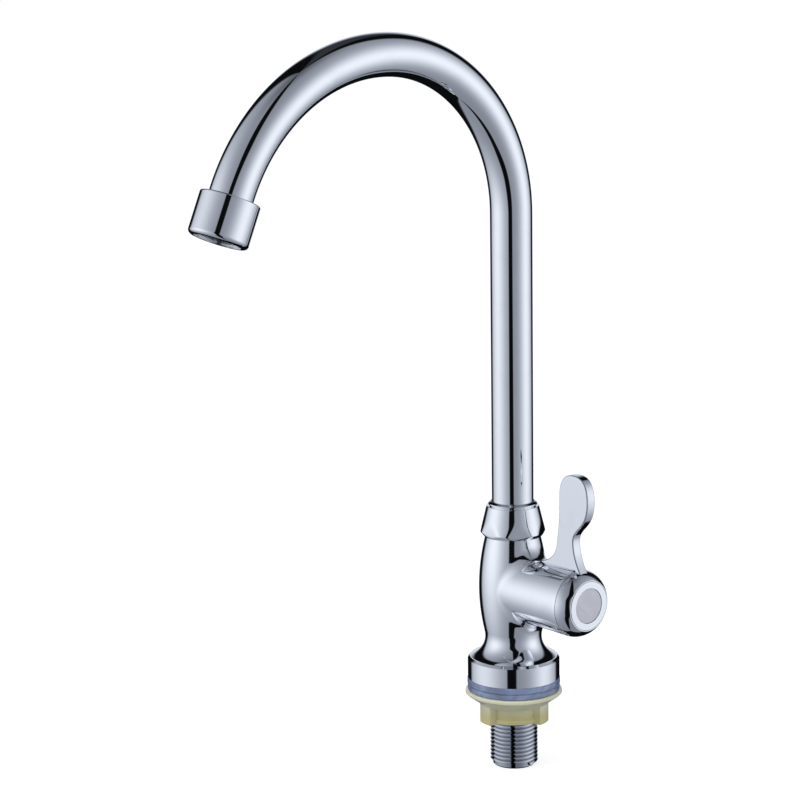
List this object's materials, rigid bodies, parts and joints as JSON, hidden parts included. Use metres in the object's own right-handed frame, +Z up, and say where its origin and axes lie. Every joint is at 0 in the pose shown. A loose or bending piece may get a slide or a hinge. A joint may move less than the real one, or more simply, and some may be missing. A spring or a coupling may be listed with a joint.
{
  "type": "kitchen tap",
  "caption": "Deck-mounted kitchen tap with a swivelling gooseneck spout, a quarter-turn paddle lever on a side barrel, and a threaded shank with washer and lock nut.",
  "frame": {"origin": "centre of the deck hole in the worktop's top face, where the deck gasket rests", "axes": "+Z up along the threaded shank and the spout's riser, -Y towards the outlet at rest, +X along the valve barrel towards the lever"},
  "size_m": [0.0699, 0.1878, 0.3252],
  "materials": {
    "chrome_plate": "mirror-bright chrome plate over brass",
    "lever_chrome": "mirror-bright chrome plate over brass",
    "bright_ring": "bright satin chrome",
    "matt_grey": "matt grey",
    "blue_grey_seal": "soft blue-grey sealing plastic, slightly translucent",
    "ivory_nylon": "ivory nylon, slightly translucent",
    "plain_brass": "turned brass",
    "black_rubber": "smooth black nitrile rubber",
    "white_acetal": "white acetal",
    "stainless": "stainless steel",
    "alumina": "lapped alumina ceramic"
  },
  "bodies": {
    "tap_body": {"body_casting": "chrome_plate", "threaded_shank": "chrome_plate", "deck_gasket": "blue_grey_seal", "coupling_nut": "chrome_plate", "spout_slip_washer": "white_acetal", "cartridge_housing": "plain_brass", "cartridge_o_ring": "black_rubber", "cartridge_seal": "black_rubber", "fixed_disc": "alumina"},
    "spout": {"spout_tube": "chrome_plate", "spout_end_fitting": "plain_brass", "spout_o_rings": "black_rubber", "aerator_sleeve": "plain_brass", "aerator_housing": "chrome_plate", "aerator_washer": "black_rubber", "aerator_insert": "white_acetal", "flow_diffuser": "white_acetal", "aerator_screen": "stainless"},
    "lever": {"lever_handle": "lever_chrome", "handle_screw": "stainless", "cap_ring": "bright_ring", "index_disc": "matt_grey", "cartridge_spindle": "plain_brass", "spindle_o_rings": "black_rubber", "spindle_clip": "stainless", "disc_driver": "white_acetal", "moving_disc": "alumina"},
    "lower_washer": {"clamp_washer": "blue_grey_seal"},
    "shank_nut": {"lock_nut": "ivory_nylon"}
  },
  "joints": [
    {"name": "spout_swivel", "type": "hinge", "parent": "tap_body", "child": "spout", "pos_m": [0, 0, 0.0725], "axis": [0, 0, 1], "continuous": true},
    {"name": "lever_turn", "type": "hinge", "parent": "tap_body", "child": "lever", "pos_m": [0.0412, 0, 0.0442], "axis": [1, 0, 0], "range_deg": [0, 90]},
    {"name": "washer_travel", "type": "slide", "parent": "tap_body", "child": "lower_washer", "axis": [0, 0, -1], "range_m": [0, 0.0182]},
    {"name": "nut_spin", "type": "hinge", "parent": "lower_washer", "child": "shank_nut", "pos_m": [0, 0, -0.0026], "axis": [0, 0, -1], "range_deg": [0, 3600]}
  ],
  "couplings": [
    {"joint": "washer_travel", "follows": "nut_spin", "m_per_rad": 0.00028875}
  ]
}
